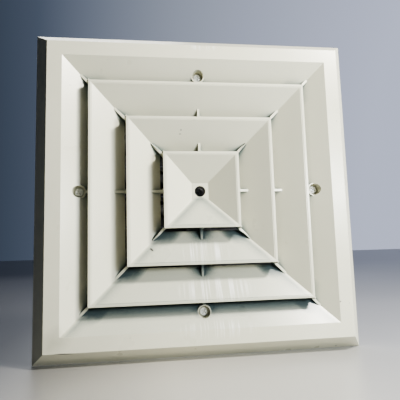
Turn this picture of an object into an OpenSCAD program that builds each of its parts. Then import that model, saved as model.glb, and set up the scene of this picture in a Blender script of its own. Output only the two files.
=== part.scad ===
// Square four-way ceiling air diffuser with three stepped cones and an opposed-blade damper.
// Each module draws its shape as it hangs: the ceiling plane is z = 0, +Z points up into the duct
// and the face looks down. in_frame() then stands the part on edge, so that the face looks along
// -Y, the duct lies toward +Y and the origin is the centre of the duct opening.
// The damper is drawn shut.
// Sizes are in millimetres.

/* [Face] */
// Width of the square face over its back edge, which meets the ceiling
overall_width = 304.8; // [303:0.1:306]
// Depth from the ceiling to the lips of the cones
face_depth = 21.4; // [21:0.1:22]
// Width over the outer edge of the flat rim
rim_outer_width = 278; // [276:0.5:280]
// Width over the inner edge of the flat rim
rim_inner_width = 251; // [250:0.5:252]
// How much nearer to the ceiling the rim's outer edge lies than its inner edge
rim_fall = 1; // [0.5:0.1:1.5]
// Angle between the sloping faces and the ceiling
slope_angle = 32.5; // [32:0.5:33]
// Wall of the face mouldings, square to the surface
wall = 2; // [1.8:0.1:2.2]
// Width of the face's flat back edge
edge_width = 2.6; // [2.4:0.1:2.8]

/* [Cones] */
// Width over the lip of the outer cone
outer_cone_width = 204.4; // [204:0.2:205]
// Width over the lip of the middle cone
middle_cone_width = 137; // [136:0.5:138]
// Width over the lip of the centre cone
centre_cone_width = 70.6; // [70:0.2:71]
// Width of the flat band round each lip
lip_width = 2.7; // [2.5:0.1:3]
// Height of the lip's outer wall
lip_height = 2.3; // [2.2:0.1:2.6]
// Gap in plan between a slope's inner edge and the next lip
air_slot = 2.2; // [2:0.1:2.4]
// Width of the flat pad in the middle of the centre cone
pad_width = 15.6; // [15:0.2:16]
// Diameter of the screwdriver hole in the pad
access_hole_d = 10.3; // [9.5:0.1:11]
// Thickness of the gussets and fins that join the cones
rib_thickness = 2.6; // [2.2:0.1:3]
// Depth below the ceiling of the gussets' and fins' lower edges
rib_depth = 9; // [8.5:0.5:9.5]

/* [Face screws] */
// Distance from the centre of the face to each screw
screw_radius = 111.4; // [111:0.1:112]
// Diameter of a screw head
screw_head_d = 8; // [7.5:0.1:8.2]
// Height of a screw head
screw_head_h = 2.6; // [2.4:0.1:2.8]
// Diameter of a screw's shank
screw_shank_d = 4; // [3.8:0.1:4.2]
// Outer diameter of a screw cup
cup_outer_d = 12.8; // [12.4:0.1:13]
// Inner diameter of a screw cup
cup_inner_d = 10.6; // [10.2:0.1:10.8]
// Depth below the ceiling of a cup's mouth
cup_mouth_depth = 12; // [11.5:0.1:12.5]
// Depth below the ceiling of a cup's floor
cup_floor_depth = 5.9; // [5.7:0.1:6.1]

/* [Neck] */
// Outer width of the square neck, for an 8 inch duct opening
neck_width = 199; // [198.5:0.1:199.5]
// Height of the neck above the ceiling
neck_height = 50; // [50:0.5:55]
// Wall of the neck and thickness of its flange
neck_wall = 2; // [2:0.1:2.2]
// Outer width of the flange behind the face
flange_width = 236; // [234:0.5:238]
// Diameter of the holes for fixing the neck to a duct
duct_hole_d = 4.2; // [4:0.1:4.5]
// Distance between the two duct holes in each side
duct_hole_spacing = 120; // [110:1:130]
// Height of the duct holes above the ceiling
duct_hole_height = 4; // [3.5:0.1:4.5]

/* [Damper] */
// Number of damper blades
blade_count = 6; // [6:2:6]
// Distance between neighbouring blade shafts
blade_pitch = 31.4; // [31.2:0.1:31.4]
// Height of the blade shafts above the ceiling
shaft_height = 30; // [29.8:0.1:30.2]
// Thickness of a blade
blade_thickness = 1.4; // [1.2:0.1:1.8]
// Diameter of the tube along a blade's middle
blade_tube_d = 9; // [8.5:0.1:9.2]
// Diameter of a blade's pivot pins
pivot_d = 5; // [4.8:0.1:5.2]
// Teeth on each blade gear; an odd count meshes with its own copy
blade_gear_teeth = 25; // [25:2:25]
// Face width of a blade gear
blade_gear_width = 5; // [4.5:0.1:5]
// Sheet thickness of the damper's channels
sheet = 1.2; // [1:0.1:1.2]

/* [Operator] */
// Diameter of the operator screw
operator_screw_d = 6; // [5.8:0.1:6.2]
// Teeth on the drive pinion; an even count
pinion_teeth = 16; // [16:2:16]
// Tooth module of the drive pinion and its rack
pinion_module = 1; // [1:0.05:1]
// Face width of the drive pinion
pinion_width = 8; // [7:0.5:8]

/* [Hidden] */
$fn = 48;
half = overall_width / 2;
rim_outer = rim_outer_width / 2;
rim_inner = rim_inner_width / 2;
outer_lip = outer_cone_width / 2;
middle_lip = middle_cone_width / 2;
centre_lip = centre_cone_width / 2;
pad_half = pad_width / 2;
neck_outer = neck_width / 2;
neck_inner = neck_outer - neck_wall;
flange_half = flange_width / 2;
throat = outer_lip + air_slot;
rim_back = -face_depth + rim_fall + wall;
reach = 400;
fuse = 0.3;
// Hairline between the four sides of a moulding, where their mitres meet
mitre_gap = 0.02;
fit_gap = 0.3;
running_gap = 0.05;

// Heights of the parts behind the face, from the ceiling
collar_seat = -3;
flange_top = collar_seat + neck_wall;
gasket_inner = 103.5;
gasket_outer = 117;
shelf_bottom = 8.5;
damper_bottom = 11;
damper_top = 49;
damper_shelf = damper_bottom - 0.1;

// Damper frame, half widths
channel_outer = neck_inner - fit_gap;
channel_inner = channel_outer - sheet;
flange_depth = 8;
channel_lip = channel_inner - flange_depth;
bush_outer_d = 8;
bush_head_d = 11;
bush_head = 0.6;
bush_bore_d = pivot_d + 2 * running_gap;
blade_left = -(channel_lip - 0.2);
blade_right = channel_inner - 1;
pin_end = channel_outer - 0.1;
cover_left = -(channel_lip + sheet);
gear_left = -(channel_inner - bush_head - 0.2);
blade_half = (blade_pitch - 1) / 2;
bead_d = 2.2;
blade_gear_module = blade_pitch / blade_gear_teeth;
middle_blade = blade_count / 2;
drive_blade = middle_blade + 1;
gear_backlash = 0.25;
pressure_angle = 20;
damper_rivet_x = 50;
damper_rivet_z = 16.5;
damper_rivet_d = 3.2;

// Operator, about the centre of the face
pinion_radius = pinion_module * pinion_teeth / 2;
rack_line = blade_pitch / 2 - pinion_radius;
nut_half = 5;
nut_below = 9.3;
nut_above = 9.3;
nut_travel = PI * pinion_radius / 2;
nut_centre = shaft_height + 6.3 - nut_travel;
guide_gap = 0.15;
guide_inner = nut_half + guide_gap;
guide_outer = guide_inner + sheet;
guide_front = -6;
guide_back = 5;
guide_top = 47.2;
strap_bottom = damper_bottom - sheet;
strap_half = 12;
strap_end = channel_lip + 6;
foot_end = 11.5;
foot_rivet_d = 2.4;
foot_rivet_x = (guide_outer + foot_end) / 2;
operator_head_d = 10;
operator_head_h = 3.5;
operator_top = 49.2;
blade_notch = 9;
key_size = 6.8;
key_height = 4;
clip_thickness = 0.8;
clip_bottom = guide_top + 0.1;
clip_groove_d = 4.6;

face_colour = [0.93, 0.92, 0.87];
collar_colour = [0.86, 0.86, 0.82];
metal_colour = [0.16, 0.16, 0.17];
steel_colour = [0.3, 0.3, 0.31];
nylon_colour = [0.9, 0.9, 0.84];
foam_colour = [0.2, 0.2, 0.21];

face_nodes = [
    "face_frame", "outer_cone", "middle_cone", "centre_cone",
    "outer_ribs", "middle_ribs", "centre_ribs"
];
screw_nodes = [for (i = [1:4]) str("face_screw_", i)];
neck_nodes = ["back_collar", "ceiling_gasket"];
damper_nodes = [
    "damper_gear_channel", "damper_plain_channel", "damper_end_channel_1", "damper_end_channel_2",
    "damper_corner_keys", "damper_rivets", "gear_cover", "pivot_bushes_gear", "pivot_bushes_plain"
];
blade_nodes = [for (i = [1:blade_count]) str("blade_", i)];
gear_nodes = [for (i = [1:blade_count]) str("blade_gear_", i)];
operator_nodes = [
    "drive_pinion", "operator_strap", "nut_guide", "operator_rivets",
    "operator_screw", "operator_nut", "retaining_ring"
];

// ---- shared shapes ----

// Height of a slope's lower surface at radius r, where start is the edge at which it begins
function slope_z(start, r) = -face_depth + (start - r) * tan(slope_angle);

// Radius at which a slope that begins at start reaches height z
function slope_r(start, z) = start - (z + face_depth) / tan(slope_angle);

// Vertical thickness of a sloping wall
function slope_wall() = wall / cos(slope_angle);

// A square ring with mitred corners from a profile of [radius, height] points. Gap is the
// distance between neighbouring sides.
module mitred_ring(profile, gap = mitre_gap) {
    for (quarter = [0:3])
        rotate([0, 0, 90 * quarter])
            intersection() {
                rotate([90, 0, 0])
                    linear_extrude(2 * reach, center = true)
                        polygon(profile);
                translate([gap / sqrt(2), 0, -reach])
                    linear_extrude(2 * reach)
                        polygon([[0, 0], [reach, -reach], [reach, reach]]);
            }
}

// A square ring with flat faces
module square_ring(outer, inner, bottom, top) {
    translate([0, 0, bottom])
        linear_extrude(top - bottom)
            difference() {
                square(2 * outer, center = true);
                square(2 * inner, center = true);
            }
}

// Repeats its children on the four sides of the square
module on_each_side() {
    for (quarter = [0:3])
        rotate([0, 0, 90 * quarter])
            children();
}

// A block given by its lowest and highest corners
module block(low, high) {
    translate(low)
        cube(high - low);
}

// A cylinder along X
module rod_x(x0, x1, d) {
    translate([x0, 0, 0])
        rotate([0, 90, 0])
            cylinder(d = d, h = x1 - x0);
}

// Places its children on the shaft of blade i
module at_shaft(i) {
    translate([0, (i - (blade_count + 1) / 2) * blade_pitch, shaft_height])
        children();
}

// Turns a shape on its shaft from the open position, in which it is drawn, to the closed one.
// Neighbouring blades turn opposite ways.
module closed(i) {
    rotate([i % 2 == 0 ? 90 : -90, 0, 0]) children();
}

// Cross recess for a screwdriver, cut from the origin upward
module cross_recess(span, depth, turn) {
    rotate([0, 0, turn])
        for (arm = [0, 90])
            rotate([0, 0, arm])
                translate([0, 0, depth / 2 - 0.5])
                    cube([span, span * 0.22, depth + 1], center = true);
}

// A domed rivet head, flat side up
module rivet_head(d, h) {
    rotate_extrude()
        polygon([[0, 0], [d / 2, 0], [d / 2, -h * 0.4], [d * 0.3, -h], [0, -h]]);
}

// ---- gear teeth ----

// Involute function of an angle, in degrees
function involute(angle) = tan(angle) * 180 / PI - angle;

// Half the angle that a tooth covers at radius r
function half_tooth(r, pitch_r, teeth) =
    let (base_r = pitch_r * cos(pressure_angle),
         at_r = r > base_r ? involute(acos(base_r / r)) : 0)
    90 / teeth - gear_backlash / pitch_r * 90 / PI + involute(pressure_angle) - at_r;

// Outline of a spur gear whose first tooth points along its X axis
function gear_outline(teeth, module_size) =
    let (pitch_r = teeth * module_size / 2,
         radii = [pitch_r - 1.25 * module_size, pitch_r - 0.45 * module_size,
                  pitch_r + 0.1 * module_size, pitch_r + 0.6 * module_size,
                  pitch_r + 0.92 * module_size],
         last = len(radii) - 1)
    [for (tooth = [0:teeth - 1], side = [-1, 1], step = [0:last])
        let (r = side < 0 ? radii[step] : radii[last - step],
             angle = tooth * 360 / teeth + side * half_tooth(r, pitch_r, teeth))
        r * [cos(angle), sin(angle)]];

// Outline of a rack that climbs along Y with its teeth toward +X and a gap at the origin
function rack_outline(back, bottom, top, module_size) =
    let (pitch = PI * module_size,
         lean = tan(pressure_angle),
         half_width = pitch / 4 - gear_backlash / 4,
         tip = 0.92 * module_size,
         root = 1.25 * module_size,
         first = ceil((bottom + half_width + root * lean) / pitch - 0.5),
         last = floor((top - half_width - root * lean) / pitch - 0.5))
    concat([[back, top], [back, bottom], [-root, bottom]],
           [for (tooth = [first:last], corner = [0:3])
               let (outward = corner == 0 || corner == 3 ? -root : tip,
                    side = corner < 2 ? -1 : 1)
               [outward, (tooth + 0.5) * pitch + side * (half_width - outward * lean)]],
           [[-root, top]]);

// ---- face ----

// Back surface of the outer bevel at height z
function bevel_back(z) = half - edge_width + (half - rim_outer) / (face_depth - rim_fall) * z;

function frame_profile() = [
    [half, 0],
    [rim_outer, -face_depth + rim_fall],
    [rim_inner, -face_depth],
    [throat, slope_z(rim_inner, throat)],
    [throat, collar_seat],
    [throat + wall, collar_seat],
    [throat + wall, slope_z(rim_inner, throat + wall) + slope_wall()],
    [rim_inner, -face_depth + slope_wall()],
    [bevel_back(rim_back), rim_back],
    [half - edge_width, 0]
];

// One screw cup, which stands proud of the slope on its inner side
module screw_cup_outside() {
    translate([screw_radius, 0, -cup_mouth_depth])
        cylinder(d = cup_outer_d, h = cup_mouth_depth + collar_seat);
    intersection() {
        translate([screw_radius, 0, -face_depth])
            cylinder(d = cup_outer_d, h = face_depth + collar_seat);
        rotate([90, 0, 0])
            linear_extrude(cup_outer_d, center = true)
                polygon([[rim_inner, -face_depth], [rim_inner, collar_seat],
                         [throat, collar_seat], [throat, slope_z(rim_inner, throat)]]);
    }
}

module screw_cup_inside() {
    translate([screw_radius, 0, -face_depth - 1])
        cylinder(d = cup_inner_d, h = face_depth + 1 - cup_floor_depth);
    translate([screw_radius, 0, -cup_floor_depth - 1])
        cylinder(d = screw_shank_d + 0.5, h = cup_floor_depth);
}

module face_frame() {
    color(face_colour)
        difference() {
            union() {
                mitred_ring(frame_profile());
                on_each_side() screw_cup_outside();
            }
            on_each_side() screw_cup_inside();
        }
}

// Profile of a cone's sloping wall from its lip to its inner edge
function cone_profile(lip, inner) =
    let (start = lip - lip_width, top = slope_z(start, inner))
    [[lip, -face_depth], [start, -face_depth], [inner, top], [inner, top + slope_wall()],
     [start, -face_depth + slope_wall()], [lip, -face_depth + lip_height]];

// A rib from the slope that begins at start to the lip inside it. Its lower edge runs level and
// then turns down to the lip. Spread is 1 at mid-side and the square root of 2 on a diagonal.
module rib(start, lip, depth, spread) {
    inner = lip + air_slot;
    outline = [
        [slope_r(start, -depth), -depth],
        [lip + 1.5, -depth - 0.2],
        [lip + 0.5, -face_depth + 1.1],
        [lip - fuse, -face_depth + 1.1],
        [lip - 1, -face_depth + lip_height - fuse],
        [lip - 7, slope_z(lip - lip_width, lip - 7) + slope_wall() - fuse],
        [lip - 7, slope_z(start, inner) - 2.5],
        [inner, slope_z(start, inner) + fuse],
        [slope_r(start, -depth) - fuse, -depth + fuse]
    ];
    rotate([90, 0, 0])
        linear_extrude(rib_thickness, center = true)
            polygon([for (p = outline) [p[0] * spread, p[1]]]);
}

// A gusset in each corner and a fin at each mid-side, cut to the faces of the two mouldings
module ribs(start, lip, depth, outer_profile, inner_profile) {
    color(face_colour)
        difference() {
            on_each_side() {
                rib(start, lip, depth, 1);
                rotate([0, 0, 45])
                    rib(start, lip, depth, sqrt(2));
            }
            mitred_ring(outer_profile, 0);
            mitred_ring(inner_profile, 0);
        }
}

function outer_profile() = cone_profile(outer_lip, middle_lip + air_slot);
function middle_profile() = cone_profile(middle_lip, centre_lip + air_slot);
function centre_profile() = cone_profile(centre_lip, pad_half);

module outer_cone() {
    color(face_colour) mitred_ring(outer_profile());
}

module middle_cone() {
    color(face_colour) mitred_ring(middle_profile());
}

module centre_cone() {
    pad_bottom = slope_z(centre_lip - lip_width, pad_half);
    pad_edge = pad_half - mitre_gap;
    color(face_colour) {
        mitred_ring(centre_profile());
        difference() {
            block([-pad_edge, -pad_edge, pad_bottom],
                  [pad_edge, pad_edge, pad_bottom + slope_wall()]);
            translate([0, 0, pad_bottom - 1])
                cylinder(d = access_hole_d, h = slope_wall() + 2);
        }
    }
}

// The outer gap's fins end at the screw cups
module outer_ribs() {
    difference() {
        ribs(rim_inner, outer_lip, cup_mouth_depth, frame_profile(), outer_profile());
        on_each_side()
            translate([screw_radius, 0, -face_depth])
                cylinder(d = cup_outer_d, h = face_depth);
    }
}

module middle_ribs() {
    ribs(outer_lip - lip_width, middle_lip, rib_depth, outer_profile(), middle_profile());
}

module centre_ribs() {
    ribs(middle_lip - lip_width, centre_lip, rib_depth, middle_profile(), centre_profile());
}

// Pan-head screw i, turned as it was left by the screwdriver
module face_screw(i) {
    bearing = -cup_floor_depth;
    crown = 0.7;
    recess_turn = 5 + 28 * i;
    color(face_colour)
        rotate([0, 0, 90 * i])
            translate([screw_radius, 0, bearing])
                difference() {
                    rotate_extrude()
                        polygon([
                            [0, -screw_head_h], [screw_head_d * 0.26, -screw_head_h + 0.1],
                            [screw_head_d * 0.42, -screw_head_h + crown * 0.7],
                            [screw_head_d / 2, -screw_head_h * 0.5], [screw_head_d / 2, 0],
                            [screw_shank_d / 2, 0], [screw_shank_d / 2, cup_floor_depth - 0.9],
                            [screw_shank_d / 4, cup_floor_depth - 0.2], [0, cup_floor_depth - 0.2]
                        ]);
                    translate([0, 0, -screw_head_h])
                        cross_recess(4.8, 1.6, recess_turn);
                }
}

// ---- neck ----

module back_collar() {
    shelf_inner = neck_inner - 3;
    boss_d = 9;
    color(collar_colour)
        difference() {
            union() {
                square_ring(neck_outer, neck_inner, collar_seat, neck_height);
                square_ring(flange_half, neck_outer - 0.5, collar_seat, flange_top);
                square_ring(neck_inner + 0.5, shelf_inner, shelf_bottom, damper_shelf);
                on_each_side()
                    translate([screw_radius, 0, collar_seat])
                        cylinder(d = boss_d, h = -collar_seat);
            }
            on_each_side() {
                translate([screw_radius, 0, collar_seat - 1])
                    cylinder(d = screw_shank_d - 0.4, h = 6);
                for (side = [-1, 1])
                    translate([0, side * duct_hole_spacing / 2, duct_hole_height])
                        rod_x(neck_inner - 1, neck_outer + 1, duct_hole_d);
            }
            for (side = [0, 1])
                mirror([0, side, 0]) damper_rivet_holes();
        }
}

// Four foam strips, each butted against the side of the next
module ceiling_gasket() {
    boss_clearance_d = 9.6;
    butt_gap = 0.1;
    color(foam_colour)
        on_each_side()
            difference() {
                block([gasket_inner, -gasket_outer, flange_top],
                      [gasket_outer, gasket_inner - butt_gap, 0]);
                translate([screw_radius, 0, flange_top - 1])
                    cylinder(d = boss_clearance_d, h = 3);
            }
}

// ---- damper frame ----

// A C-shaped channel along Y whose web stands at +X
module side_channel() {
    difference() {
        union() {
            block([channel_inner, -channel_outer, damper_bottom],
                  [channel_outer, channel_outer, damper_top]);
            for (z = [damper_bottom, damper_top - sheet])
                block([channel_lip, -channel_inner, z], [channel_outer, channel_inner, z + sheet]);
        }
        for (i = [1:blade_count])
            at_shaft(i)
                rod_x(channel_inner - 1, channel_outer + 1, bush_outer_d);
    }
}

module damper_plain_channel() {
    color(metal_colour) side_channel();
}

module damper_gear_channel() {
    color(metal_colour) mirror([1, 0, 0]) side_channel();
}

// A C-shaped channel along X whose web stands at +Y, between the two side channels
module end_channel() {
    difference() {
        union() {
            block([-channel_inner, channel_inner, damper_bottom],
                  [channel_inner, channel_outer, damper_top]);
            for (z = [damper_bottom, damper_top - sheet])
                block([-channel_lip, channel_lip, z], [channel_lip, channel_outer, z + sheet]);
        }
        damper_rivet_holes();
        strap_rivet_hole();
    }
}

// Holes along +Y for the rivets between the neck and an end channel
module damper_rivet_holes() {
    for (x = [-damper_rivet_x, damper_rivet_x])
        translate([x, 0, damper_rivet_z])
            rotate([-90, 0, 0])
                cylinder(d = damper_rivet_d, h = reach);
}

module strap_rivet_hole() {
    translate([0, strap_end - 3, strap_bottom - 1])
        cylinder(d = damper_rivet_d, h = 5);
}

module damper_end_channel_2() {
    color(metal_colour) end_channel();
}

module damper_end_channel_1() {
    color(metal_colour) mirror([0, 1, 0]) end_channel();
}

// Nylon blocks inside the corners of the channels, above and below the outer gears
module damper_corner_keys() {
    color(nylon_colour)
        for (side_x = [0, 1], side_y = [0, 1])
            mirror([side_x, 0, 0])
                mirror([0, side_y, 0])
                    translate([channel_inner - key_size, channel_inner - key_size,
                               damper_bottom + sheet])
                        cube([key_size, key_size, key_height]);
}

// Rivets that hold the damper frame in the neck
module damper_rivets() {
    hole_cut = 0.1;
    color(steel_colour)
        for (side = [0, 1], x = [-damper_rivet_x, damper_rivet_x])
            mirror([0, side, 0])
                translate([x, 0, damper_rivet_z])
                    rotate([-90, 0, 0]) {
                        translate([0, 0, channel_inner - hole_cut])
                            cylinder(d = damper_rivet_d, h = neck_outer - channel_inner + 2 * hole_cut);
                        translate([0, 0, channel_inner])
                            rivet_head(6, 0.8);
                        translate([0, 0, neck_outer])
                            mirror([0, 0, 1]) rivet_head(6, 0.8);
                    }
}

// Plate that closes the gear side's channel, with a hole for each pivot pin
module gear_cover() {
    color(metal_colour)
        difference() {
            block([cover_left, -channel_inner + 0.2, damper_bottom + sheet],
                  [cover_left + sheet - 0.2, channel_inner - 0.2, damper_top - sheet]);
            for (i = [1:blade_count])
                at_shaft(i)
                    rod_x(cover_left - 1, cover_left + 2, pivot_d + 1);
            for (side = [0, 1])
                mirror([0, side, 0])
                    block([cover_left - 1, channel_inner - key_size - 1, damper_bottom],
                          [cover_left + 2, reach, damper_bottom + sheet + key_height + 0.2]);
        }
}

// The flanged bushes in one side channel, along +X
module pivot_bushes() {
    for (i = [1:blade_count])
        at_shaft(i)
            difference() {
                union() {
                    rod_x(channel_inner - bush_head, channel_inner, bush_head_d);
                    rod_x(channel_inner - 0.1, channel_outer, bush_outer_d);
                }
                rod_x(channel_inner - 2, channel_outer + 1, bush_bore_d);
            }
}

module pivot_bushes_plain() {
    color(nylon_colour) pivot_bushes();
}

module pivot_bushes_gear() {
    color(nylon_colour) mirror([1, 0, 0]) pivot_bushes();
}

// ---- blades ----

module blade(i) {
    color(metal_colour)
        at_shaft(i) closed(i)
            difference() {
                union() {
                    translate([blade_left, 0, 0])
                        rotate([90, 0, 90])
                            linear_extrude(blade_right - blade_left) {
                                square([blade_thickness, 2 * blade_half - bead_d], center = true);
                                circle(d = blade_tube_d);
                                for (side = [-1, 1])
                                    translate([0, side * (blade_half - bead_d / 2)])
                                        circle(d = bead_d);
                            }
                    rod_x(-pin_end, pin_end, pivot_d);
                }
                if (i == middle_blade || i == drive_blade)
                    operator_notch();
            }
}

// Clears the operator and the drive pinion from both halves of a middle blade, down to its tube
module operator_notch() {
    for (side = [0, 1])
        mirror([0, 0, side])
            block([-blade_notch, -blade_tube_d, blade_tube_d / 2], [blade_notch, blade_tube_d, reach]);
}

module blade_gear(i) {
    color(nylon_colour)
        at_shaft(i) closed(i)
            translate([gear_left, 0, 0])
                rotate([90, 0, 90])
                    linear_extrude(blade_gear_width)
                        difference() {
                            polygon(gear_outline(blade_gear_teeth, blade_gear_module));
                            circle(d = pivot_d);
                        }
}

// ---- operator ----

module drive_pinion() {
    color(nylon_colour)
        at_shaft(drive_blade) closed(drive_blade)
            translate([-pinion_width / 2, 0, 0])
                rotate([90, 0, 90])
                    linear_extrude(pinion_width)
                        difference() {
                            polygon(gear_outline(pinion_teeth, pinion_module));
                            circle(d = blade_tube_d);
                        }
}

// Flat strap under the channels that carries the operator
module operator_strap() {
    color(steel_colour)
        difference() {
            block([-strap_half, -strap_end, strap_bottom], [strap_half, strap_end, damper_bottom]);
            translate([0, 0, strap_bottom - 1])
                cylinder(d = operator_screw_d + 2 * running_gap, h = 4);
            for (side = [0, 1])
                mirror([0, side, 0]) strap_rivet_hole();
            foot_rivet_holes();
        }
}

module foot_rivet_holes() {
    for (side = [-1, 1])
        translate([side * foot_rivet_x, 0, strap_bottom - 1])
            cylinder(d = foot_rivet_d, h = 5);
}

// Bent guide that stops the nut from turning and carries the upper end of the screw
module nut_guide() {
    color(steel_colour)
        difference() {
            union() {
                for (side = [0, 1])
                    mirror([side, 0, 0]) {
                        block([guide_inner, guide_front, damper_bottom],
                              [guide_outer, guide_back, guide_top]);
                        block([guide_inner, guide_front, damper_bottom],
                              [foot_end, guide_back, damper_bottom + sheet]);
                    }
                block([-guide_outer, guide_front, guide_top - sheet],
                      [guide_outer, guide_back, guide_top]);
            }
            translate([0, 0, guide_top - 3])
                cylinder(d = operator_screw_d + 2 * running_gap, h = 4);
            foot_rivet_holes();
        }
}

module operator_rivets() {
    color(steel_colour) {
        for (side = [0, 1])
            mirror([0, side, 0])
                translate([0, strap_end - 3, 0]) {
                    translate([0, 0, strap_bottom]) rivet_head(6, 0.8);
                    translate([0, 0, strap_bottom - 0.1])
                        cylinder(d = damper_rivet_d, h = 2 * sheet + 0.2);
                    translate([0, 0, damper_bottom + sheet])
                        mirror([0, 0, 1]) rivet_head(5, 0.8);
                }
        for (side = [-1, 1])
            translate([side * foot_rivet_x, 0, 0]) {
                translate([0, 0, strap_bottom]) rivet_head(4, 0.6);
                translate([0, 0, strap_bottom - 0.1])
                    cylinder(d = foot_rivet_d, h = 2 * sheet + 0.2);
                translate([0, 0, damper_bottom + sheet])
                    mirror([0, 0, 1]) rivet_head(4, 0.6);
            }
    }
}

// Screw that a screwdriver turns through the hole in the centre cone
module operator_screw() {
    shank_r = operator_screw_d / 2;
    groove_r = shank_r - 0.4;
    thread_pitch = 2.5;
    thread_bottom = damper_bottom + 3;
    turns = 12;
    color(steel_colour)
        difference() {
            rotate_extrude()
                polygon(concat(
                    [[0, operator_top], [0, strap_bottom - operator_head_h],
                     [operator_head_d / 2 - 0.6, strap_bottom - operator_head_h],
                     [operator_head_d / 2, strap_bottom - operator_head_h + 0.6],
                     [operator_head_d / 2, strap_bottom], [shank_r, strap_bottom]],
                    [for (turn = [0:turns - 1], corner = [0:3])
                        [corner == 0 || corner == 3 ? shank_r : groove_r,
                         thread_bottom + (turn + [0, 0.2, 0.5, 0.7][corner]) * thread_pitch]],
                    [[shank_r, clip_bottom], [clip_groove_d / 2, clip_bottom],
                     [clip_groove_d / 2, clip_bottom + clip_thickness],
                     [shank_r, clip_bottom + clip_thickness], [shank_r, operator_top]]
                ));
            translate([0, 0, strap_bottom - operator_head_h])
                cross_recess(6, 2, 20);
        }
}

// Nut whose rack drives the pinion as it climbs the screw, at its lower end with the damper shut.
// Its travel is a whole number of teeth, so the rack is in mesh at both ends.
module operator_nut() {
    color(nylon_colour)
        difference() {
            translate([-nut_half, rack_line, shaft_height])
                rotate([90, 0, 90])
                    linear_extrude(2 * nut_half)
                        polygon(rack_outline(guide_front - rack_line + 1,
                                             nut_centre - nut_below - shaft_height,
                                             nut_centre + nut_above - shaft_height,
                                             pinion_module));
            translate([0, 0, damper_bottom])
                cylinder(d = operator_screw_d + 2 * running_gap, h = damper_top);
        }
}

// Open ring in the groove at the top of the screw
module retaining_ring() {
    mouth = 3.6;
    color(steel_colour)
        difference() {
            translate([0, 0, clip_bottom])
                cylinder(d = 10, h = clip_thickness);
            translate([0, 0, clip_bottom - 1])
                cylinder(d = clip_groove_d, h = 3);
            block([-mouth / 2, 0, clip_bottom - 1], [mouth / 2, reach, clip_bottom + 2]);
        }
}

// Stands the part upright from the way it hangs
module in_frame() {
    rotate([-90, 0, 0]) children();
}

in_frame() face_frame();
in_frame() outer_cone();
in_frame() middle_cone();
in_frame() centre_cone();
in_frame() outer_ribs();
in_frame() middle_ribs();
in_frame() centre_ribs();
for (i = [1:4]) in_frame() face_screw(i);
in_frame() back_collar();
in_frame() ceiling_gasket();
in_frame() damper_gear_channel();
in_frame() damper_plain_channel();
in_frame() damper_end_channel_1();
in_frame() damper_end_channel_2();
in_frame() damper_corner_keys();
in_frame() damper_rivets();
in_frame() gear_cover();
in_frame() pivot_bushes_gear();
in_frame() pivot_bushes_plain();
for (i = [1:blade_count]) in_frame() blade(i);
for (i = [1:blade_count]) in_frame() blade_gear(i);
in_frame() drive_pinion();
in_frame() operator_strap();
in_frame() nut_guide();
in_frame() operator_rivets();
in_frame() operator_screw();
in_frame() operator_nut();
in_frame() retaining_ring();
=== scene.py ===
"""Looks of the square ceiling air diffuser: materials, softened edges, stage, lights and camera.

The part stands on its lower edge with its face toward -Y. All sizes are in metres.
"""
import math

import bmesh
import bpy
from mathutils import Matrix, Vector


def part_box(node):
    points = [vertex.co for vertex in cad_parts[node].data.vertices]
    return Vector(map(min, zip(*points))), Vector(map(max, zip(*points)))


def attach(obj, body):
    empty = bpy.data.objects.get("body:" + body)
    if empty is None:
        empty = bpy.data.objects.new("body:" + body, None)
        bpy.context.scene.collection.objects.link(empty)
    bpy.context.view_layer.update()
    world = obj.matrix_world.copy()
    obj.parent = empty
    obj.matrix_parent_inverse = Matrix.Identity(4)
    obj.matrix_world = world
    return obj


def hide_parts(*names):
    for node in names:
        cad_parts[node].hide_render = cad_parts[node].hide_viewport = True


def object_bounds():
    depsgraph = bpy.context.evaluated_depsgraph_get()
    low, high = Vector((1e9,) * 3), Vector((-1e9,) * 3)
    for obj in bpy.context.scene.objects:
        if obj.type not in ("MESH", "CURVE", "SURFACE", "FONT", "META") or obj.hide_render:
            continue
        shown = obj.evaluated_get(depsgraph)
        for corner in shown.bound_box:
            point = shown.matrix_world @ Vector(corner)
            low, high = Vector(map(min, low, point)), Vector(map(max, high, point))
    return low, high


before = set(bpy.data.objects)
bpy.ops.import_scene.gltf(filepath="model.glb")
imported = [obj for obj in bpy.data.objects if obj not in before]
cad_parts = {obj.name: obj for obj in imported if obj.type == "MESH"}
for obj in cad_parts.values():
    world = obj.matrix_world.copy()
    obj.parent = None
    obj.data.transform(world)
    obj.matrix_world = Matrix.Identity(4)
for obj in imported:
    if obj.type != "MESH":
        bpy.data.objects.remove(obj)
cad_low, cad_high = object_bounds()

MM = 0.001
RING_NODES = ["face_frame", "outer_cone", "middle_cone", "centre_cone"]
SCREW_NODES = [f"face_screw_{i}" for i in range(1, 5)]
BLADES = range(1, 7)

# The face moulding, as it is designed: the slopes' angle and wall, and the flat band of a lip
SLOPE = math.radians(32.5)
WALL = 2.0 * MM / math.cos(SLOPE)
LIP_BAND = 2.7 * MM
LIP_HEIGHT = 2.3 * MM
LIP_GROOVE = 0.5 * MM
AIR_SLOT = 2.2 * MM
PAD_HALF = 7.8 * MM
RIM_INNER = 125.5 * MM
SCREW_RADIUS = 111.4
CUP_INNER_SIDE = 105.6 * MM
CUP_DEPTH = 12.0 * MM
RIB_DEPTH = 9.0 * MM
FIN_WIDTH = 2.5 * MM
GUSSET_WIDTH = 2.6 * MM
FIN_REACH = 7 * MM
GUSSET_REACH = 9 * MM
RIB_EDGE = 0.95 * MM
MOULDED_EDGE = 0.4 * MM
SHARP_ANGLE = 28
MITRE_GAP = 0.05 * MM

# Painted shade in the corners: how far an opening still shades the face, and how much darker it is painted
# on the lower slopes, where it stands in for the shadows the lips cast
SHADE_REACH = 15 * MM
LOWER_SHADE_POWER = 1.8
LOWER_SHADE_OFFSET = 0.30
CUP_UNSHADED = 0.85

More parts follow.
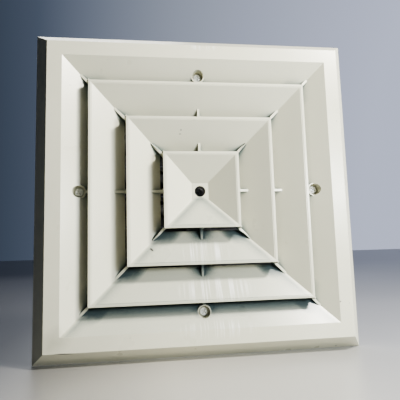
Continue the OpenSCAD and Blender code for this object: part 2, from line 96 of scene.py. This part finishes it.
# The damper blades' edge beads and the soft sleeves over them
BLADE_LEFT = -87.4 * MM
BLADE_RIGHT = 94.6 * MM
BEAD = 2.2 * MM
SEAL_WALL = 0.42 * MM

# Painted highlight streaks on the face, a lighter colour with a glossier finish: centre and half size in mm
# in the row frame
SHEEN_STREAKS = [((2, -15, -58), (25, 14, 13)), ((11, -15, -92), (40, 14, 13)), ((12, -19, -126), (40, 8, 9)),
          ((5, -20.8, 138), (15, 4, 5))]
# Centre, half size, turn in degrees about Y, and darkness
SPECKS = [
    ((-46.7, -13.9, -54), (2.6, 3.0, 1.1), 45, 1.0),
    ((-17.7, -15.8, 57), (0.7, 1.4, 1.0), 0, 0.85),
    ((-18.5, -13.7, 53.7), (1.2, 1.2, 0.6), 0, 0.7),
    ((-5.8, -21.0, 65.1), (0.5, 1.0, 0.5), 0, 0.4),
    ((-66.2, -21.4, 51.1), (0.4, 1.0, 0.7), 0, 0.5),
    ((-118.8, -17.1, 98), (0.8, 1.0, 0.8), 0, 0.3),
    ((126.2, -21.3, -106.7), (0.9, 1.2, 0.9), 0, 0.9),
    ((135.3, -20.7, -108.5), (0.5, 1.0, 0.5), 0, 0.6),
    ((140.3, -17.4, -108.5), (0.9, 2.0, 0.9), 0, 0.8),
    ((135, -20.7, 66.1), (0.7, 1.0, 0.5), 0, 0.6),
    ((127.1, -3.7, -150), (1.2, 3.0, 0.9), 0, 0.6),
    ((-121.5, -19.9, -139.2), (9.5, 2.2, 0.75), 3, 0.9),
]


# ---- node helpers ----

def new_material(name):
    """An empty node material with its output and one Principled shader."""
    material = bpy.data.materials.new(name)
    material.use_nodes = True
    shader = material.node_tree.nodes["Principled BSDF"]
    return material, material.node_tree, shader


def add(tree, kind, **settings):
    """A node of that kind; settings name its properties, or its inputs by their label."""
    node = tree.nodes.new(kind)
    for key, value in settings.items():
        label = key.replace("_", " ")
        if label in node.inputs:
            node.inputs[label].default_value = value
        else:
            setattr(node, key, value)
    return node


def object_space(tree, scale=(1, 1, 1)):
    """Coordinates in the row frame, stretched by scale."""
    coordinates = add(tree, "ShaderNodeTexCoord")
    mapping = add(tree, "ShaderNodeMapping")
    mapping.inputs["Scale"].default_value = scale
    tree.links.new(coordinates.outputs["Object"], mapping.inputs["Vector"])
    return mapping.outputs["Vector"]


def noise(tree, vector, scale, detail=3.0, roughness=0.5):
    node = add(tree, "ShaderNodeTexNoise", Scale=scale, Detail=detail, Roughness=roughness)
    tree.links.new(vector, node.inputs["Vector"])
    return node.outputs["Fac"]


def ramp(tree, value, stops):
    """Maps a value through colour or grey stops given as (position, colour)."""
    node = add(tree, "ShaderNodeValToRGB")
    elements = node.color_ramp.elements
    while len(elements) < len(stops):
        elements.new(0.5)
    for element, (position, colour) in zip(elements, stops):
        element.position = position
        element.color = colour if len(colour) == 4 else (*colour, 1.0)
    tree.links.new(value, node.inputs["Fac"])
    return node.outputs["Color"]


def grey(level):
    return (level, level, level, 1.0)


def mix(tree, blend, factor, a, b):
    """Mixes two colours; factor, a and b are sockets or constants."""
    node = add(tree, "ShaderNodeMix", data_type="RGBA", blend_type=blend)
    for socket, value in ((node.inputs[0], factor), (node.inputs[6], a), (node.inputs[7], b)):
        if isinstance(value, bpy.types.NodeSocket):
            tree.links.new(value, socket)
        else:
            socket.default_value = value
    return node.outputs[2]


def bump(tree, height, distance, strength=1.0, normal=None):
    node = add(tree, "ShaderNodeBump", Strength=strength, Distance=distance)
    tree.links.new(height, node.inputs["Height"])
    if normal is not None:
        tree.links.new(normal, node.inputs["Normal"])
    return node.outputs["Normal"]


def math_node(tree, operation, a, b=0.0, clamp=False):
    """One operation on two numbers, each a socket or a constant."""
    node = add(tree, "ShaderNodeMath", operation=operation, use_clamp=clamp)
    for socket, value in zip(node.inputs, (a, b)):
        if isinstance(value, bpy.types.NodeSocket):
            tree.links.new(value, socket)
        else:
            socket.default_value = value
    return node.outputs["Value"]


# ---- materials ----

def patch(tree, centre, half_size, turn=0.0, fade=0.3):
    """1 inside an ellipsoid in the row frame and 0 outside, with a soft edge."""
    coordinates = add(tree, "ShaderNodeTexCoord")
    mapping = add(tree, "ShaderNodeMapping", vector_type="TEXTURE")
    mapping.inputs["Location"].default_value = [c * MM for c in centre]
    mapping.inputs["Rotation"].default_value = (0, math.radians(turn), 0)
    mapping.inputs["Scale"].default_value = [h * MM for h in half_size]
    tree.links.new(coordinates.outputs["Object"], mapping.inputs["Vector"])
    length = add(tree, "ShaderNodeVectorMath", operation="LENGTH")
    tree.links.new(mapping.outputs["Vector"], length.inputs[0])
    return ramp(tree, length.outputs["Value"], [(1 - fade, grey(1)), (1.0, grey(0))])


def painted_crevice_shade(tree, reach, darkest):
    """Painted shade: near darkest where the face is hemmed in within reach; 1 in the open, the rim and the
    cups.
    """
    shade = add(tree, "ShaderNodeAmbientOcclusion", samples=8, Distance=reach)
    coordinates = add(tree, "ShaderNodeTexCoord")
    split = add(tree, "ShaderNodeSeparateXYZ")
    tree.links.new(coordinates.outputs["Object"], split.inputs["Vector"])
    across = math_node(tree, "ABSOLUTE", split.outputs["X"])
    along = math_node(tree, "ABSOLUTE", split.outputs["Z"])
    # Painted shade is deeper on the lower slopes, standing in for the shadows cast by the lips above them
    below = math_node(tree, "SUBTRACT", math_node(tree, "MULTIPLY", split.outputs["Z"], -1.0), across)
    lower = math_node(tree, "MULTIPLY", below, 200.0, clamp=True)
    shade_power = math_node(tree, "ADD", math_node(tree, "MULTIPLY", lower, LOWER_SHADE_POWER), 1.0)
    shelter = math_node(tree, "POWER", shade.outputs["AO"], shade_power)
    shelter = math_node(tree, "SUBTRACT", shelter, math_node(tree, "MULTIPLY", lower, LOWER_SHADE_OFFSET))
    # The deepest painted shade is tinted cool, like shadow
    deep = (darkest * 0.7, darkest * 1.0, darkest * 1.3)
    half = (0.33 + darkest / 2, 0.40 + darkest / 2, 0.45 + darkest / 2)
    painted_shade = ramp(tree, shelter, [(0.26, deep), (0.50, half), (0.78, (1, 1, 1))])
    # The rim and the screw cups get little or none of the painted shade
    unshaded = math_node(tree, "GREATER_THAN", math_node(tree, "MAXIMUM", across, along), RIM_INNER)
    for turn in range(4):
        a = turn * math.pi / 2
        centre = (SCREW_RADIUS * math.cos(a), -9, SCREW_RADIUS * math.sin(a))
        cup = math_node(tree, "MULTIPLY", patch(tree, centre, (7, 12, 7), 0, 0.15), CUP_UNSHADED)
        unshaded = math_node(tree, "MAXIMUM", unshaded, cup)
    return mix(tree, "MIX", unshaded, painted_shade, grey(1))


def moulded_plastic(name, light, dark, roughness, shade_darkest=0.12):
    """Semi-gloss moulding: soft cloudy tint, painted shade in its crevices, uneven polish, shallow waves
    and a fine skin.
    """
    material, tree, shader = new_material(name)
    place = object_space(tree)
    cloud = noise(tree, place, 14, 4, 0.6)
    tint = ramp(tree, cloud, [(0.3, dark), (0.7, light)])
    # Painted shade in the crevices darkens the tint
    tint_with_shade = mix(tree, "MULTIPLY", 1.0, tint, painted_crevice_shade(tree, SHADE_REACH, shade_darkest))
    tree.links.new(tint_with_shade, shader.inputs["Base Color"])
    polish = noise(tree, place, 35, 3, 0.5)
    low, high = roughness
    rough = ramp(tree, polish, [(0.3, grey(low)), (0.7, grey(high))])
    tree.links.new(rough, shader.inputs["Roughness"])
    waves = bump(tree, noise(tree, place, 28, 2, 0.4), 0.3 * MM, 0.35)
    skin = bump(tree, noise(tree, place, 1400, 3, 0.5), 0.02 * MM, 0.5, waves)
    tree.links.new(skin, shader.inputs["Normal"])
    shader.inputs["Specular IOR Level"].default_value = 0.5
    return material


def add_wear_and_sheen(material):
    """Marks on the face: painted highlight streaks, a scratch, small chips, specks and darkening toward the
    lower left corner.
    """
    tree = material.node_tree
    shader = tree.nodes["Principled BSDF"]
    colour = shader.inputs["Base Color"].links[0].from_socket
    rough = shader.inputs["Roughness"].links[0].from_socket

    # Upright streaks low on the middle of the slopes and on the middle of the top rim: the lighter colour
    # is a painted highlight, the lower roughness a glossier polish
    lines = noise(tree, object_space(tree, (1, 0.02, 0.02)), 420, 2, 0.6)
    streaks = ramp(tree, lines, [(0.50, grey(0)), (0.62, grey(1))])
    for centre, half_size in SHEEN_STREAKS:
        here = math_node(tree, "MULTIPLY", streaks, patch(tree, centre, half_size, 0, 0.5))
        faint = math_node(tree, "MULTIPLY", here, 0.62)
        colour = mix(tree, "MIX", faint, colour, (1.0, 0.99, 0.94, 1))
        rough = mix(tree, "MIX", faint, rough, grey(0.16))

    # Dark marks: a scratch and specks of paint and dirt
    for centre, half_size, turn, depth in SPECKS:
        here = math_node(tree, "MULTIPLY", patch(tree, centre, half_size, turn, 0.5), depth)
        colour = mix(tree, "MIX", here, colour, (0.05, 0.045, 0.04, 1))

    # Darker olive noise toward the lower corner on the left
    lower_left_dark = math_node(tree, "MULTIPLY", noise(tree, object_space(tree), 45, 4, 0.65), 0.9)
    here = math_node(tree, "MULTIPLY", lower_left_dark, patch(tree, (-131, -21.5, -131), (14, 2.5, 22), 45, 0.8))
    colour = mix(tree, "MIX", here, colour, (0.34, 0.34, 0.25, 1))

    # A sparse dusting of tiny specks
    cells = add(tree, "ShaderNodeTexVoronoi", Scale=95.0)
    tree.links.new(object_space(tree), cells.inputs["Vector"])
    dot = ramp(tree, cells.outputs["Distance"], [(0.022, grey(1)), (0.035, grey(0))])
    rare = ramp(tree, noise(tree, object_space(tree), 60, 1, 0.5), [(0.60, grey(0)), (0.63, grey(1))])
    here = math_node(tree, "MULTIPLY", math_node(tree, "MULTIPLY", dot, rare), 0.55)
    colour = mix(tree, "MIX", here, colour, (0.13, 0.12, 0.10, 1))

    tree.links.new(colour, shader.inputs["Base Color"])
    tree.links.new(rough, shader.inputs["Roughness"])
    return material


def brushed_metal(name, colour, stretch, roughness, metallic=1.0):
    """Bare metal with rolling lines across the stretched axis."""
    material, tree, shader = new_material(name)
    lines = noise(tree, object_space(tree, stretch), 900, 3, 0.6)
    cloud = noise(tree, object_space(tree), 35, 4, 0.6)
    dull = tuple(c * 0.8 for c in colour)
    tint = mix(tree, "MULTIPLY", 0.35, ramp(tree, cloud, [(0.3, dull), (0.7, colour)]),
               ramp(tree, lines, [(0.3, grey(0.75)), (0.7, grey(1.0))]))
    tree.links.new(tint, shader.inputs["Base Color"])
    low, high = roughness
    rough = ramp(tree, lines, [(0.2, grey(low)), (0.8, grey(high))])
    tree.links.new(rough, shader.inputs["Roughness"])
    tree.links.new(bump(tree, lines, 0.03 * MM, 0.5), shader.inputs["Normal"])
    shader.inputs["Metallic"].default_value = metallic
    return material


def foam(name):
    """Open-cell gasket foam."""
    material, tree, shader = new_material(name)
    place = object_space(tree)
    cells = add(tree, "ShaderNodeTexVoronoi", Scale=1100.0)
    tree.links.new(place, cells.inputs["Vector"])
    tint = ramp(tree, cells.outputs["Distance"], [(0.1, (0.012, 0.012, 0.014)),
                                                  (0.6, (0.055, 0.055, 0.06))])
    tree.links.new(tint, shader.inputs["Base Color"])
    tree.links.new(bump(tree, cells.outputs["Distance"], 0.4 * MM, 0.8), shader.inputs["Normal"])
    shader.inputs["Roughness"].default_value = 0.95
    return material


def floor_material():
    material, tree, shader = new_material("studio_floor")
    grain = ramp(tree, noise(tree, object_space(tree), 3, 3, 0.5), [(0.3, grey(0.92)), (0.7, grey(1))])
    coordinates = add(tree, "ShaderNodeTexCoord")
    split = add(tree, "ShaderNodeSeparateXYZ")
    tree.links.new(coordinates.outputs["Object"], split.inputs["Vector"])
    across = math_node(tree, "MULTIPLY_ADD", split.outputs["X"], 0.5)
    across.node.inputs[2].default_value = 0.5
    # Painted light and shade on the floor: dark to the left as painted shade, lightest and warmest just
    # left of the middle as painted light, greyer to the right
    floor_light_and_shade = ramp(tree, across, [(0.395, (0.10, 0.10, 0.105)), (0.485, (0.50, 0.48, 0.43)),
                               (0.60, (0.36, 0.36, 0.36))])
    tint = mix(tree, "MULTIPLY", 1.0, floor_light_and_shade, grain)
    tree.links.new(tint, shader.inputs["Base Color"])
    shader.inputs["Roughness"].default_value = 0.35
    return material


# ---- shapes ----

def dress(node, material, edge):
    """Gives a CAD node its material and softens its edges with modifiers."""
    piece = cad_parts[node]
    mesh = piece.data
    mesh.materials.clear()
    mesh.materials.append(material)
    if "custom_normal" in mesh.attributes:
        mesh.attributes.remove(mesh.attributes["custom_normal"])
    mesh.polygons.foreach_set("use_smooth", [True] * len(mesh.polygons))
    weld = piece.modifiers.new("weld", "WELD")
    weld.merge_threshold = 0.001 * MM
    flat = piece.modifiers.new("flat", "DECIMATE")
    flat.decimate_type = "DISSOLVE"
    flat.angle_limit = math.radians(0.4)
    bevel = piece.modifiers.new("soft_edge", "BEVEL")
    bevel.limit_method = "ANGLE"
    bevel.angle_limit = math.radians(SHARP_ANGLE)
    bevel.width = edge
    bevel.segments = 2
    bevel.harden_normals = True
    bevel.use_clamp_overlap = False
    return piece


def lip_of(node):
    """Half the width over a cone's lip."""
    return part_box(node)[1].x


def slope_depth(start, r):
    """Row y of the front of a slope that begins at half width start, at half width r."""
    return cad_low.y + (start - r) * math.tan(SLOPE)


def slope_half_width(start, y):
    return start - (y - cad_low.y) / math.tan(SLOPE)


def new_piece(name, mesh, material, node):
    """A piece on the housing that stands for a CAD node."""
    mesh.materials.append(material)
    mesh.polygons.foreach_set("use_smooth", [True] * len(mesh.polygons))
    piece = bpy.data.objects.new(name, mesh)
    bpy.context.scene.collection.objects.link(piece)
    shading = piece.modifiers.new("flat_faces", "WEIGHTED_NORMAL")
    shading.weight = 80
    shading.keep_sharp = True
    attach(piece, "housing")
    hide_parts(node)
    return piece


def is_joint_face(face):
    """True for the hidden faces at the mitres and round the pad, where a moulding's sides meet."""
    def on_mitre(p):
        return abs(abs(p.x) - abs(p.z)) < MITRE_GAP

    def on_pad_edge(p):
        return abs(max(abs(p.x), abs(p.z)) - PAD_HALF) < MITRE_GAP
    points = [v.co for v in face.verts]
    normal = face.normal
    if all(map(on_mitre, points)):
        return abs(abs(normal.x) - abs(normal.z)) < 0.01 and abs(normal.y) < 0.5
    return all(map(on_pad_edge, points)) and max(abs(normal.x), abs(normal.z)) > 0.99


def is_lip_step(edge):
    """True for an edge where a cone's slope meets the flat band of its lip."""
    flat = [abs(face.normal.y) > 0.999 for face in edge.link_faces]
    return any(flat) and not all(flat) and all(abs(v.co.y - cad_low.y) < MITRE_GAP
                                               for v in edge.verts) and \
        min(abs(face.normal.y) for face in edge.link_faces) > 0.5


def one_moulding(node, material, stepped):
    """A CAD ring as the single moulding it is: its sides welded at the mitres, its edges rounded."""
    bm = bmesh.new()
    bm.from_mesh(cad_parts[node].data)
    bmesh.ops.remove_doubles(bm, verts=bm.verts, dist=0.001 * MM)
    bmesh.ops.dissolve_limit(bm, angle_limit=math.radians(0.5), verts=bm.verts, edges=bm.edges)
    bm.normal_update()
    hidden = [face for face in bm.faces if is_joint_face(face)]
    bmesh.ops.delete(bm, geom=hidden, context="FACES")
    bmesh.ops.remove_doubles(bm, verts=bm.verts, dist=MITRE_GAP)
    bm.normal_update()
    groove = []
    if stepped:
        steps = [e for e in bm.edges if len(e.link_faces) == 2 and is_lip_step(e)]
        groove = bmesh.ops.bevel(bm, geom=steps, offset=LIP_GROOVE, offset_type="OFFSET",
                                 segments=2, profile=0.0, affect="EDGES", clamp_overlap=True)["faces"]
        bm.normal_update()
    groove = set(groove)
    corners = [e for e in bm.edges
               if len(e.link_faces) == 2 and e.calc_face_angle() > math.radians(14)
               and groove.isdisjoint(e.link_faces)]
    bmesh.ops.bevel(bm, geom=corners, offset=MOULDED_EDGE, offset_type="OFFSET", segments=3,
                    profile=0.5, affect="EDGES", clamp_overlap=True)
    for e in bm.edges:
        e.smooth = len(e.link_faces) == 2 and e.calc_face_angle() < math.radians(27)
    mesh = bpy.data.meshes.new(node + "_moulding")
    bm.to_mesh(mesh)
    bm.free()
    return new_piece(node + "_moulding", mesh, material, node)


def rib_outline(start, lip, depth, tip, reach):
    """Half width and row y of the points round a rib; the first four lie along its open edge."""
    front = cad_low.y
    inner = lip + AIR_SLOT
    bury = 0.3 * MM
    behind = lip - reach
    cone_start = lip - LIP_BAND
    return [
        (tip, -depth),
        (lip + 1.6 * MM, -depth - 0.2 * MM),
        (lip + 0.6 * MM, -depth - 1.4 * MM),
        (lip + 0.5 * MM, front + 1.1 * MM),
        (lip - bury, front + 1.1 * MM),
        (lip - 1 * MM, front + LIP_HEIGHT - bury),
        (behind, slope_depth(cone_start, behind) + WALL - bury),
        (behind, slope_depth(start, inner) - 2.5 * MM),
        (inner, slope_depth(start, inner) + bury),
        (tip - bury, min(-depth + bury, slope_depth(start, tip) + bury)),
    ]


def add_rib(bm, outline, spread, turn, width):
    """Adds one rib with a rounded open edge, turned about the middle of the face."""
    rib = bmesh.new()
    floor_light_and_shade = [rib.verts.new((r * spread, y, -width / 2)) for r, y in outline]
    made = bmesh.ops.extrude_face_region(rib, geom=[rib.faces.new(floor_light_and_shade)])
    far = [v for v in made["geom"] if isinstance(v, bmesh.types.BMVert)]
    bmesh.ops.translate(rib, verts=far, vec=(0, 0, width))
    bmesh.ops.recalc_face_normals(rib, faces=rib.faces)
    open_points = {(round(r * spread, 7), round(y, 7)) for r, y in outline[:4]}
    open_edges = [e for e in rib.edges
                  if abs(e.verts[0].co.z - e.verts[1].co.z) < 1e-6
                  and all((round(v.co.x, 7), round(v.co.y, 7)) in open_points for v in e.verts)]
    bmesh.ops.bevel(rib, geom=open_edges, offset=RIB_EDGE, offset_type="OFFSET", segments=4,
                    profile=0.5, affect="EDGES", clamp_overlap=True)
    bmesh.ops.rotate(rib, verts=rib.verts, matrix=Matrix.Rotation(turn, 3, "Y"))
    mesh = bpy.data.meshes.new("rib")
    rib.to_mesh(mesh)
    rib.free()
    bm.from_mesh(mesh)
    bpy.data.meshes.remove(mesh)


def rib_set(node, start, lip, depth, material, side_tip=None):
    """The four corner gussets and the four mid-side fins between two mouldings."""
    tip = slope_half_width(start, -depth)
    bm = bmesh.new()
    for quarter in range(4):
        turn = quarter * math.pi / 2
        fin = rib_outline(start, lip, depth, side_tip or tip, FIN_REACH)
        gusset = rib_outline(start, lip, depth, tip, GUSSET_REACH)
        add_rib(bm, fin, 1.0, turn, FIN_WIDTH)
        add_rib(bm, gusset, math.sqrt(2), turn + math.pi / 4, GUSSET_WIDTH)
    mesh = bpy.data.meshes.new(node + "_rounded")
    bm.to_mesh(mesh)
    bm.free()
    return new_piece(node + "_rounded", mesh, material, node)


def edge_seals(i, material):
    """Soft sleeves over a damper blade's two edge beads, which close the slits of the shut damper."""
    low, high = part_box(f"blade_{i}")
    bm = bmesh.new()
    length = BLADE_RIGHT - BLADE_LEFT
    middle = ((BLADE_LEFT + BLADE_RIGHT) / 2, (low.y + high.y) / 2)
    for z in (low.z + BEAD / 2, high.z - BEAD / 2):
        place = Matrix.Translation((*middle, z)) @ Matrix.Rotation(math.pi / 2, 4, "Y")
        bmesh.ops.create_cone(bm, cap_ends=True, segments=20, radius1=BEAD / 2 + SEAL_WALL,
                              radius2=BEAD / 2 + SEAL_WALL, depth=length, matrix=place)
    for e in bm.edges:
        e.smooth = e.calc_face_angle() < math.radians(30)
    mesh = bpy.data.meshes.new(f"blade_seal_{i}")
    bm.to_mesh(mesh)
    bm.free()
    mesh.materials.append(material)
    mesh.polygons.foreach_set("use_smooth", [True] * len(mesh.polygons))
    piece = bpy.data.objects.new(f"blade_seal_{i}", mesh)
    bpy.context.scene.collection.objects.link(piece)
    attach(piece, f"blade_{i}")


# ---- stage, lights and camera ----

def make_floor():
    size = 8.0
    mesh = bpy.data.meshes.new("studio_floor")
    corners = [(-size, -size, 0), (size, -size, 0), (size, size, 0), (-size, size, 0)]
    mesh.from_pydata(corners, [], [(0, 1, 2, 3)])
    floor = bpy.data.objects.new("studio_floor", mesh)
    floor.location.z = cad_low.z
    mesh.materials.append(floor_material())
    bpy.context.scene.collection.objects.link(floor)


def area_light(name, azimuth, elevation, distance, size, power, colour):
    """A round light aimed at the middle; azimuth 0 is straight in front, positive to the right."""
    data = bpy.data.lights.new(name, "AREA")
    data.shape = "DISK"
    data.size = size
    data.energy = power
    data.color = colour
    light = bpy.data.objects.new(name, data)
    a, e = math.radians(azimuth), math.radians(elevation)
    toward = Vector((math.sin(a) * math.cos(e), -math.cos(a) * math.cos(e), math.sin(e)))
    light.location = toward * distance
    light.rotation_mode = "QUATERNION"
    light.rotation_quaternion = toward.to_track_quat("Z", "Y")
    light.visible_camera = False
    bpy.context.scene.collection.objects.link(light)


def make_lights():
    area_light("key", 48, 39, 0.80, 0.135, 11.7, (1.0, 0.965, 0.90))
    area_light("window", 36, 6, 0.62, 0.15, 3.9, (0.92, 0.97, 1.0))
    area_light("behind", 195, 35, 1.6, 1.1, 9, (0.95, 0.97, 1.0))


def make_world():
    """A plain studio that is dark to the left and lighter to the right."""
    world = bpy.data.worlds.new("studio")
    bpy.context.scene.world = world
    world.use_nodes = True
    tree = world.node_tree
    background = tree.nodes["Background"]
    coordinates = add(tree, "ShaderNodeTexCoord")
    split = add(tree, "ShaderNodeSeparateXYZ")
    tree.links.new(coordinates.outputs["Generated"], split.inputs["Vector"])
    depth = math_node(tree, "MULTIPLY_ADD", split.outputs["Y"], 0.10)
    depth.node.inputs[2].default_value = 0.42
    across = math_node(tree, "MULTIPLY_ADD", split.outputs["X"], 0.5)
    tree.links.new(depth, across.node.inputs[2])
    shade = ramp(tree, across, [(0.28, (0.012, 0.02, 0.034)), (0.40, (0.08, 0.10, 0.14)),
                                (0.55, (0.28, 0.31, 0.38)), (0.75, (0.50, 0.54, 0.68))])
    tree.links.new(shade, background.inputs["Color"])
    background.inputs["Strength"].default_value = 1.0


def make_camera():
    data = bpy.data.cameras.new("camera")
    data.lens = 37.8
    data.sensor_width = 36
    camera = bpy.data.objects.new("camera", data)
    camera.location = (-53.9 * MM, -398.6 * MM, -55.6 * MM)
    pitch, roll, heading = 96.80, 1.67, -7.58
    camera.rotation_euler = [math.radians(turn) for turn in (pitch, roll, heading)]
    bpy.context.scene.collection.objects.link(camera)
    bpy.context.scene.camera = camera


# ---- the part ----

def dress_part():
    cream = moulded_plastic("face_plastic", (0.69, 0.67, 0.525), (0.66, 0.645, 0.50), (0.27, 0.34))
    add_wear_and_sheen(cream)
    paint = moulded_plastic("painted_screw", (0.80, 0.79, 0.72), (0.74, 0.73, 0.66), (0.20, 0.30), shade_darkest=0.6)
    neck = moulded_plastic("neck_plastic", (0.72, 0.72, 0.67), (0.68, 0.68, 0.63), (0.42, 0.55))
    nylon = moulded_plastic("nylon", (0.78, 0.77, 0.68), (0.74, 0.73, 0.64), (0.36, 0.5))
    black = brushed_metal("black_anodised", (0.035, 0.035, 0.038), (0.02, 1, 1), (0.5, 0.7), 0.0)
    steel = brushed_metal("zinc_steel", (0.16, 0.16, 0.165), (1, 0.05, 1), (0.3, 0.45))
    for node in RING_NODES:
        one_moulding(node, cream, node != "face_frame")
    outer, middle, centre = (lip_of(f"{ring}_cone") for ring in ("outer", "middle", "centre"))
    rib_set("outer_ribs", RIM_INNER, outer, CUP_DEPTH, cream, CUP_INNER_SIDE)
    rib_set("middle_ribs", outer - LIP_BAND, middle, RIB_DEPTH, cream)
    rib_set("centre_ribs", middle - LIP_BAND, centre, RIB_DEPTH, cream)
    for node in SCREW_NODES:
        dress(node, paint, 0.12 * MM)
    dress("back_collar", neck, 0.25 * MM)
    dress("ceiling_gasket", foam("gasket_foam"), 0.15 * MM)
    for node in ("damper_gear_channel", "damper_plain_channel", "damper_end_channel_1",
                 "damper_end_channel_2", "gear_cover"):
        dress(node, black, 0.15 * MM)
    rubber = foam("seal_rubber")
    for i in BLADES:
        edge_seals(i, rubber)
        dress(f"blade_{i}", black, 0.15 * MM)
        dress(f"blade_gear_{i}", nylon, 0.1 * MM)
    for node in ("damper_corner_keys", "pivot_bushes_gear", "pivot_bushes_plain",
                 "drive_pinion", "operator_nut"):
        dress(node, nylon, 0.1 * MM)
    for node in ("damper_rivets", "operator_strap", "nut_guide", "operator_rivets",
                 "operator_screw", "retaining_ring"):
        dress(node, steel, 0.1 * MM)


dress_part()
make_floor()
make_world()
make_lights()
make_camera()
bpy.context.scene.view_settings.view_transform = "AgX"
bpy.context.scene.view_settings.look = "AgX - Medium High Contrast"
